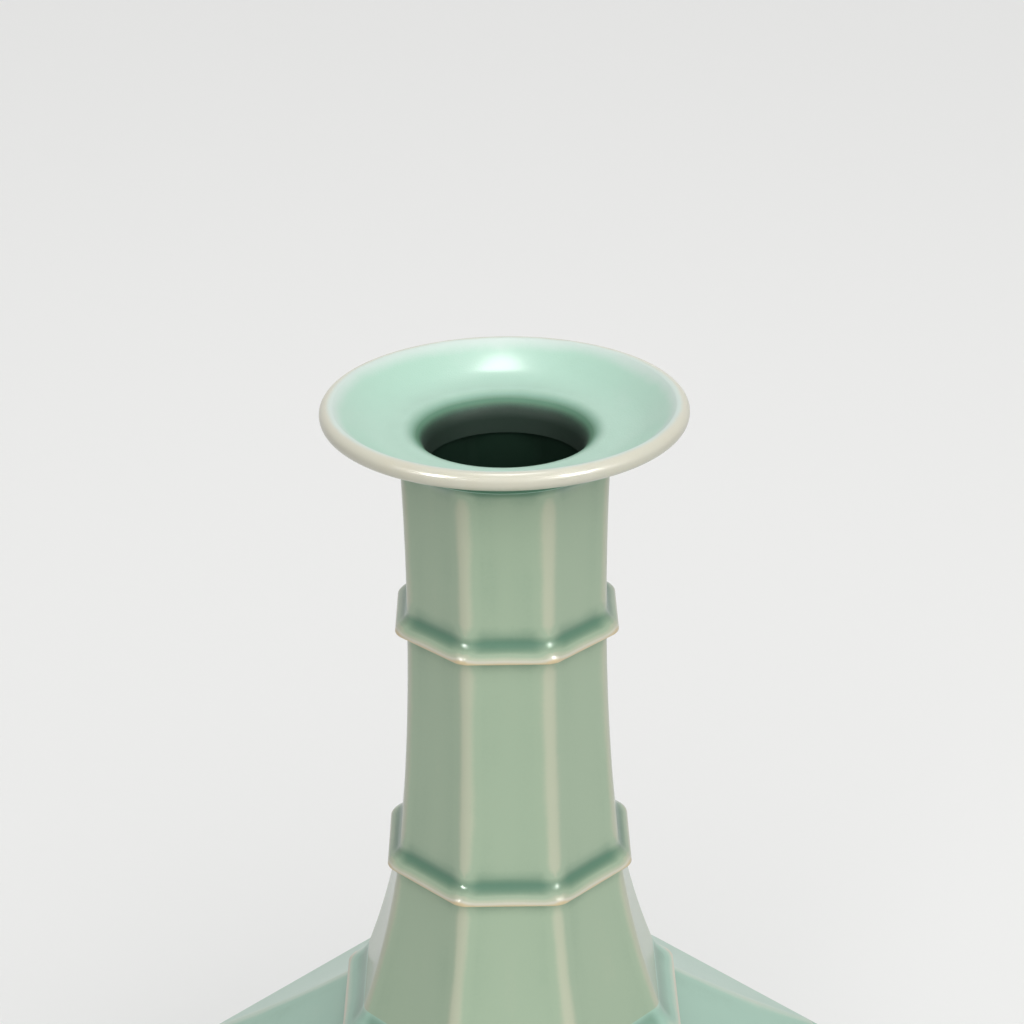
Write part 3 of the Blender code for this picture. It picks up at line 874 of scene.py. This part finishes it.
def glaze_thickness(nodes, look, place, laid, grain, ridged):
    """The glaze as laid, thinner on ridges, thicker beside them, and as uneven as a real one."""

    def towards_pool(share, left):
        """One on a flat side, and what is left of it at a share of a pool's depth."""
        return nodes.spread(laid, look.wall, look.pool * share, 1.0, left)

    clouds = nodes.noise(place, CLOUD_SCALE, 3.0)
    streaks = nodes.noise(place, STREAK_SCALE, 2.0, STREAK_SQUEEZE)
    thickness = laid
    if ridged:
        near, bank, beyond = (look.ridge_reach * share for share in (0.8, 1.4, 3.6))
        wander = nodes.spread(clouds, 0, 1, -RIDGE_WANDER, RIDGE_WANDER, False)
        distance = nodes.plus(nodes.ridge_distance(place), wander)
        far = nodes.spread(laid, look.wall, look.pool * 0.9, look.ridge_reach, look.ridge_reach * 1.6)
        thinned = nodes.times(
            nodes.spread(distance, RIDGE_CREST, far, look.ridge_thinning, 0), towards_pool(0.9, POOLED_THINNING)
        )
        banked = nodes.times(
            nodes.spread(distance, near, bank, 0, look.ridge_bank),
            nodes.spread(distance, bank, beyond, 1, 0),
            towards_pool(0.8, 0.0),
        )
        outside = nodes.spread(laid, look.pool, look.pool + 0.2, 1.0, 0.0)
        thickness = nodes.times(laid, nodes.plus(1.0, nodes.times(outside, nodes.minus(banked, thinned))))
    drift = nodes.plus(
        nodes.drift(clouds, CLOUD_DRIFT), nodes.drift(streaks, STREAK_DRIFT), nodes.drift(grain, GRAIN_DRIFT)
    )
    return nodes.times(thickness, nodes.plus(1.0, nodes.times(drift, towards_pool(0.7, POOLED_DRIFT))))


def specked(nodes, look, place, thickness, tint):
    """A colour with iron specks where there is glaze."""
    specks = nodes.new("ShaderNodeTexVoronoi", {"Scale": SPECK_SCALE, "Vector": place})
    kind = nodes.new("ShaderNodeSeparateColor", {0: specks.outputs["Color"]})
    size = nodes.spread(kind.outputs["Red"], SPECKLESS, 1.0, 0.0, SPECK_SIZE, False)
    spot = nodes.maths("LESS_THAN", specks.outputs["Distance"], size)
    share = nodes.times(spot, nodes.spread(thickness, GLOSS_START, 0.3, 0.0, SPECK_STRENGTH))
    given = {"Factor": share, "A": tint, "B": (*look.speck_colour, 1.0)}
    return nodes.new("ShaderNodeMix", given, data_type="RGBA").outputs["Result"]


def glaze_material(name, look, edge_colour, thin_colour, wall_colour, coat, ridged=True, frost=0.0):
    """A glaze whose colour follows its thickness, over clay that shows where it ends. Its thickest colour, and part of
    its pooling, is painted shade.
    """
    existing = bpy.data.materials.get(name)
    if existing:
        return existing
    material = bpy.data.materials.new(name)
    material.use_nodes = True
    nodes = Nodes(material.node_tree)
    shader = material.node_tree.nodes["Principled BSDF"]
    place = nodes.new("ShaderNodeTexCoord").outputs["Object"]
    laid = nodes.new("ShaderNodeAttribute", attribute_name="glaze").outputs["Fac"]
    grain = nodes.noise(place, FROST_GRAIN_SCALE if frost else GRAIN_SCALE, 1.0)
    thickness = glaze_thickness(nodes, look, place, laid, grain, ridged)
    stops = (
        (0.00, look.clay_colour),
        (CLAY_END, look.clay_colour),
        (GLOSS_START, edge_colour),
        (look.edge, edge_colour),
        (look.lip, look.cream_colour),
        (look.wall * (1 - look.ridge_thinning), thin_colour),
        (look.wall, wall_colour),
        (look.pool, look.pool_colour),
        # Near black where the glaze is thickest: painted shade in the throat and the bores
        (look.bore * 0.90, look.throat_shade_colour),
    )
    tint = nodes.colour_ramp(thickness, stops)

    gloss = nodes.spread(grain, 0.0, 1.0, GLOSS + frost, GLOSS + GLOSS_CHANGE + frost, False)
    sparkle = GRAIN_RELIEF
    if frost:
        open_to_light = nodes.spread(laid, look.wall * 1.2, look.pool * 0.8, 1.0, 0.0)
        gloss = nodes.minus(nodes.plus(gloss, THROAT_MATTING), nodes.times(open_to_light, THROAT_MATTING))
        coat = nodes.times(open_to_light, coat)
        sparkle = nodes.spread(laid, look.lip, look.wall, sparkle, frost * FROST_RELIEF)
        sparkle = nodes.times(open_to_light, sparkle)
    glazed_share = nodes.spread(thickness, CLAY_END, GLOSS_START, 0, 1)
    given = {"Factor": glazed_share, "A": CLAY_ROUGHNESS, "B": gloss}
    roughness = nodes.new("ShaderNodeMix", given, data_type="FLOAT").outputs["Result"]
    relief = nodes.plus(nodes.times(grain, sparkle), nodes.noise(place, WAVE_SCALE, 0.0))
    strength = FROST_STRENGTH if frost else RELIEF_STRENGTH
    bump = nodes.new("ShaderNodeBump", {"Strength": strength, "Distance": RELIEF, "Height": relief})
    for socket_in, value in (
        ("Base Color", specked(nodes, look, place, thickness, tint)),
        ("Roughness", roughness),
        ("Specular IOR Level", SHINE),
        ("Coat Weight", coat),
        ("Coat Roughness", COAT_ROUGHNESS + frost * COAT_FROSTING),
        ("Normal", bump.outputs["Normal"]),
    ):
        nodes.feed(value, shader.inputs[socket_in])
    return material


def neck_glaze(look):
    """The sage glaze of the neck and its fillets."""
    return glaze_material("Neck glaze", look, look.edge_colour, look.neck_thin_colour, look.neck_colour, 0.45)


def mouth_glaze(look):
    """The mouth's glaze, turquoise partly from its thickness and partly as painted cool light from above, with painted
    shade and reflection at the lip's inner edge and painted shade in the throat.
    """
    return glaze_material(
        "Mouth glaze", look, look.edge_colour, look.lip_inner_shade_and_reflection_colour, look.mouth_glaze_and_cool_light_colour, 0.6, ridged=False, frost=0.12
    )


def body_glaze(look):
    """The mint glaze of the shoulder, belly and foot, bluer than the neck's partly as painted cool light from above."""
    return glaze_material("Body glaze", look, look.body_edge_colour, look.body_thin_colour, look.body_colour, 0.15)


class VASE_OT_mouth(bpy.types.Operator):
    """Model the thrown mouth with its lip, dish and throat"""

    bl_idname = "vase.mouth"
    bl_label = "Dish mouth"
    bl_options = {"REGISTER", "UNDO"}

    def execute(self, context):
        scene = context.scene
        look = scene.vase_glaze
        outline = mouth_outline(scene.vase_mouth, look)
        piece = turned("dish_mouth_glazed", outline, scene.vase_mouth.steps)
        finish(piece, outline, radii, mouth_glaze(look))
        return {"FINISHED"}


class VASE_OT_neck(bpy.types.Operator):
    """Model the three lengths of the neck"""

    bl_idname = "vase.neck"
    bl_label = "Neck sections"
    bl_options = {"REGISTER", "UNDO"}

    def execute(self, context):
        scene = context.scene
        walls, look = scene.vase_walls, scene.vase_glaze
        lines = wall_lines(walls)
        covers = {
            "upper_neck": (None, "upper_neck_fillet"),
            "lower_neck": ("upper_neck_fillet", "lower_neck_fillet"),
            "neck_flare": ("lower_neck_fillet", "neck_base_fillet"),
        }
        for name, (above, below) in covers.items():
            climb = 0.0 if above else scene.vase_mouth.joint_rise
            creep = 0.0 if below == "neck_base_fillet" else look.creep
            outline = neck_outline(lines[name], above, below, walls, look, climb, creep)
            piece = turned(name + "_glazed", outline, SIDES, HALF_SIDE)
            soften_ridges(piece, walls.ridge_width, walls.ridge_steps)
            if above is None:
                self.blend_top(piece, walls, NECK_TOP + climb)
            finish(piece, outline, flat_sides, neck_glaze(look))
        return {"FINISHED"}

    def blend_top(self, piece, walls, top):
        """Turns the flat sides round towards the mouth's collar."""

        def across(first, second):
            """Whether an edge lies level, across a flat side."""
            return abs(first.z - second.z) < MERGE and first.xy.angle(second.xy) > HALF_SIDE

        pick_edges(piece, across)
        bpy.ops.mesh.subdivide(number_cuts=walls.blend_columns)
        body = editing(piece)
        collar = corner_radius("upper_neck") - walls.blend_clearance
        wall = upper_flat("upper_neck") - walls.rebate
        for vertex in body.verts:
            radius = vertex.co.xy.length
            share = 1 - (top - vertex.co.z) / walls.blend_height
            if share > 0 and radius > wall:
                vertex.co.xy *= 1 + (collar / radius - 1) * share**walls.blend_swing
        bmesh.update_edit_mesh(piece.data)


class VASE_OT_neck_fillets(bpy.types.Operator):
    """Model the three raised fillets of the neck"""

    bl_idname = "vase.neck_fillets"
    bl_label = "Neck fillets"
    bl_options = {"REGISTER", "UNDO"}

    def execute(self, context):
        scene = context.scene
        walls, look, sizes = scene.vase_walls, scene.vase_glaze, scene.vase_fillets
        lines = wall_lines(walls)
        collar = lines["neck_flare"][-1][0]
        narrow = Cove(sizes.neck_cove, sizes.neck_lead, sizes.neck_tail, look.pool, look.creep)
        broad = Cove(high("neck_base_fillet"), sizes.base_lead, sizes.base_tail, look.body_pool, 0.0)
        neighbours = {
            "upper_neck_fillet": (lines["upper_neck"], lines["lower_neck"], narrow, neck_glaze),
            "lower_neck_fillet": (lines["lower_neck"], lines["neck_flare"], narrow, neck_glaze),
            "neck_base_fillet": (lines["neck_flare"], [(collar, BASE_SEAM), (collar, BELLY_SEAM)], broad, body_glaze),
        }
        for name, (above, under, cove, glaze) in neighbours.items():
            outline = fillet_outline(name, above, flat_at(under, low(name)), cove, sizes, walls, look)
            angular(name, outline, sizes.ridge_width, walls.ridge_steps, glaze(look))
        return {"FINISHED"}


class VASE_OT_shoulder(bpy.types.Operator):
    """Model the sloping shoulder and the fillet round its edge"""

    bl_idname = "vase.shoulder"
    bl_label = "Shoulder"
    bl_options = {"REGISTER", "UNDO"}

    def execute(self, context):
        scene = context.scene
        walls, look, sizes = scene.vase_walls, scene.vase_glaze, scene.vase_fillets
        outline = shoulder_outline(walls, look)
        angular("shoulder", outline, walls.ridge_width, walls.ridge_steps, body_glaze(look))
        edge_flat = measured("shoulder", BELLY_SEAM + INSET)
        below = flat_at(belly_line(walls), low("shoulder_edge_fillet"))
        band = [(edge_flat, high("shoulder")), (edge_flat, FOOT_SEAM)]
        cove = Cove(high("shoulder_edge_fillet"), sizes.edge_lead, sizes.edge_tail, look.body_pool, 0.0)
        rim = fillet_outline("shoulder_edge_fillet", band, below, cove, sizes, walls, look)
        angular("shoulder_edge_fillet", rim, sizes.ridge_width, walls.ridge_steps, body_glaze(look))
        return {"FINISHED"}


class VASE_OT_belly(bpy.types.Operator):
    """Model the rounded belly"""

    bl_idname = "vase.belly"
    bl_label = "Belly"
    bl_options = {"REGISTER", "UNDO"}

    def execute(self, context):
        scene = context.scene
        walls, look = scene.vase_walls, scene.vase_glaze
        outline = belly_outline(walls, scene.vase_foot, look)
        angular("belly", outline, walls.ridge_width, walls.ridge_steps, body_glaze(look))
        return {"FINISHED"}


class VASE_OT_foot(bpy.types.Operator):
    """Model the foot ring and the floor plate that it carries"""

    bl_idname = "vase.foot"
    bl_label = "Foot and floor"
    bl_options = {"REGISTER", "UNDO"}

    def execute(self, context):
        scene = context.scene
        walls, foot, look = scene.vase_walls, scene.vase_foot, scene.vase_glaze
        outline = foot_outline(foot, look)
        angular("foot_ring", outline, walls.ridge_width, walls.ridge_steps, body_glaze(look))
        self.floor_plate(foot, look)
        return {"FINISHED"}

    def floor_plate(self, foot, look):
        """The plate that closes the belly, with rounded edges."""
        bottom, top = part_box("floor_plate")
        bpy.ops.object.select_all(action="DESELECT")
        bpy.ops.mesh.primitive_cylinder_add(
            vertices=SIDES,
            radius=corner_radius("floor_plate"),
            depth=top.z - bottom.z,
            location=(0, 0, (top.z + bottom.z) / 2),
            rotation=(0, 0, HALF_SIDE),
        )
        piece = bpy.context.active_object
        piece.name = piece.data.name = "floor_plate_glazed"
        bpy.ops.object.transform_apply(location=True, rotation=True, scale=True)
        pick_edges(piece, lambda first, second: True)
        bpy.ops.mesh.bevel(offset_type="OFFSET", offset=foot.plate_rounding, segments=4, affect="EDGES")
        outline = even([(top.x, top.z), (top.x, bottom.z)], look.wall)
        finish(piece, outline, flat_sides, body_glaze(look))


class VASE_OT_stage(bpy.types.Operator):
    """Set the floor, the soft lamps and the camera"""

    bl_idname = "vase.stage"
    bl_label = "Stage"
    bl_options = {"REGISTER", "UNDO"}

    def execute(self, context):
        look = context.scene.vase_stage
        self.floor(look)
        self.backdrop(context.scene, look)
        self.lamps(look)
        self.camera(context.scene, look)
        context.scene.view_settings.view_transform = "Standard"
        return {"FINISHED"}

    def floor(self, look):
        """A wide pale floor."""
        bpy.ops.object.select_all(action="DESELECT")
        bpy.ops.mesh.primitive_plane_add(size=look.floor_size, location=(0, 0, -look.floor_gap))
        floor = bpy.context.active_object
        floor.name = floor.data.name = "floor"
        material = bpy.data.materials.new("Pale floor")
        material.use_nodes = True
        nodes = Nodes(material.node_tree)
        shader = material.node_tree.nodes["Principled BSDF"]
        shader.inputs["Base Color"].default_value = (*look.floor_colour, 1.0)
        shader.inputs["Roughness"].default_value = look.floor_roughness
        shader.inputs["Emission Color"].default_value = WHITE
        nodes.feed(nodes.times(self.looked_at(nodes), look.floor_lift), shader.inputs["Emission Strength"])
        floor.data.materials.append(material)

    def backdrop(self, scene, look):
        """A pale backdrop to the camera and in reflections, over a soft light from all round."""
        world = bpy.data.worlds.new("Studio")
        scene.world = world
        world.use_nodes = True
        nodes = Nodes(world.node_tree)
        soft = world.node_tree.nodes["Background"]
        soft.inputs["Color"].default_value = WHITE
        soft.inputs["Strength"].default_value = look.fill
        pale = nodes.new("ShaderNodeBackground", {"Color": (*look.backdrop_colour, 1.0), "Strength": look.backdrop})
        given = {0: self.looked_at(nodes), 1: soft.outputs[0], 2: pale.outputs[0]}
        either = nodes.new("ShaderNodeMixShader", given)
        nodes.feed(either.outputs[0], world.node_tree.nodes["World Output"].inputs["Surface"])

    def looked_at(self, nodes):
        """One where the camera or a reflection sees a surface, and nought where it only sheds light."""
        rays = nodes.new("ShaderNodeLightPath").outputs
        seen = nodes.maths("MAXIMUM", rays["Is Camera Ray"], rays["Is Transmission Ray"])
        return nodes.maths("MAXIMUM", seen, rays["Is Glossy Ray"])

    def lamps(self, look):
        """Wide soft light from the front and the back, and three lamps that the glaze mirrors."""
        for name, turn, climb in SUNS:
            wide = self.light("SUN", "light_" + name, turn, climb, getattr(look, name + "_power"))
            wide.data.angle = SUN_WIDTH
            wide.visible_glossy = False
        for name, turn, climb, size, aim, beam in LAMPS:
            power = getattr(look, name + "_power")
            lamp = self.light("AREA", "lamp_" + name, turn, climb, power, high(aim), look.lamp_distance)
            lamp.data.shape = "ELLIPSE"
            lamp.data.size, lamp.data.size_y = size
            lamp.data.spread = math.radians(beam)
            lamp.visible_camera = False
            lamp.visible_diffuse = name == "top"

    def light(self, kind, name, turn, climb, power, aim=0.0, distance=0.0):
        """A light that shines on the vase's axis at a height, from a side and a climb in degrees."""
        azimuth, elevation = math.radians(turn), math.radians(climb)
        level = math.cos(elevation)
        direction = Vector((math.sin(azimuth) * level, -math.cos(azimuth) * level, math.sin(elevation)))
        place = Vector((0, 0, aim)) + direction * distance
        bpy.ops.object.light_add(type=kind, location=place, rotation=direction.to_track_quat("Z", "Y").to_euler())
        light = bpy.context.active_object
        light.name = light.data.name = name
        light.data.energy = power
        return light

    def camera(self, scene, look):
        """The camera at the photograph's place, height and angle."""
        bpy.ops.object.camera_add()
        camera = bpy.context.active_object
        camera.name = camera.data.name = "camera"
        camera.data.sensor_width = SENSOR
        camera.data.lens = look.focal_pixels * SENSOR / FRAME_PIXELS
        lip = high("dish_mouth") - scene.vase_mouth.lip_radius
        aside = -math.atan(look.aim_pixels / look.focal_pixels / math.cos(look.camera_pitch))
        camera.matrix_world = (
            Matrix.Translation((0, -look.camera_distance, lip + look.camera_rise))
            @ Matrix.Rotation(aside, 4, "Z")
            @ Matrix.Rotation(math.pi / 2 - look.camera_pitch, 4, "X")
            @ Matrix.Rotation(look.camera_roll, 4, "Z")
        )
        scene.camera = camera


class VASE_PT_panel(bpy.types.Panel):
    """Sizes, glaze, stage and steps of the vase"""

    bl_idname = "VASE_PT_panel"
    bl_label = "Dish-mouth vase"
    bl_space_type = "VIEW_3D"
    bl_region_type = "UI"
    bl_category = "Vase"

    def draw(self, context):
        for name, group in GROUPS.items():
            box = self.layout.box()
            for size in group.__annotations__:
                box.prop(getattr(context.scene, name), size)
        for step in STEPS:
            self.layout.operator(step.bl_idname)


STEPS = (
    VASE_OT_mouth,
    VASE_OT_neck,
    VASE_OT_neck_fillets,
    VASE_OT_shoulder,
    VASE_OT_belly,
    VASE_OT_foot,
    VASE_OT_stage,
)
GROUPS = {
    "vase_mouth": MouthSizes,
    "vase_walls": WallSizes,
    "vase_fillets": FilletSizes,
    "vase_foot": FootSizes,
    "vase_glaze": GlazeLook,
    "vase_stage": StageLook,
}


def register():
    for name, group in GROUPS.items():
        bpy.utils.register_class(group)
        setattr(bpy.types.Scene, name, PointerProperty(type=group))
    for step in (*STEPS, VASE_PT_panel):
        bpy.utils.register_class(step)


def unregister():
    for step in reversed((*STEPS, VASE_PT_panel)):
        bpy.utils.unregister_class(step)
    for name, group in reversed(GROUPS.items()):
        delattr(bpy.types.Scene, name)
        bpy.utils.unregister_class(group)


def main():
    register()
    bpy.ops.vase.mouth()
    bpy.ops.vase.neck()
    bpy.ops.vase.neck_fillets()
    bpy.ops.vase.shoulder()
    bpy.ops.vase.belly()
    bpy.ops.vase.foot()
    bpy.ops.vase.stage()


if __name__ == "__main__":
    main()
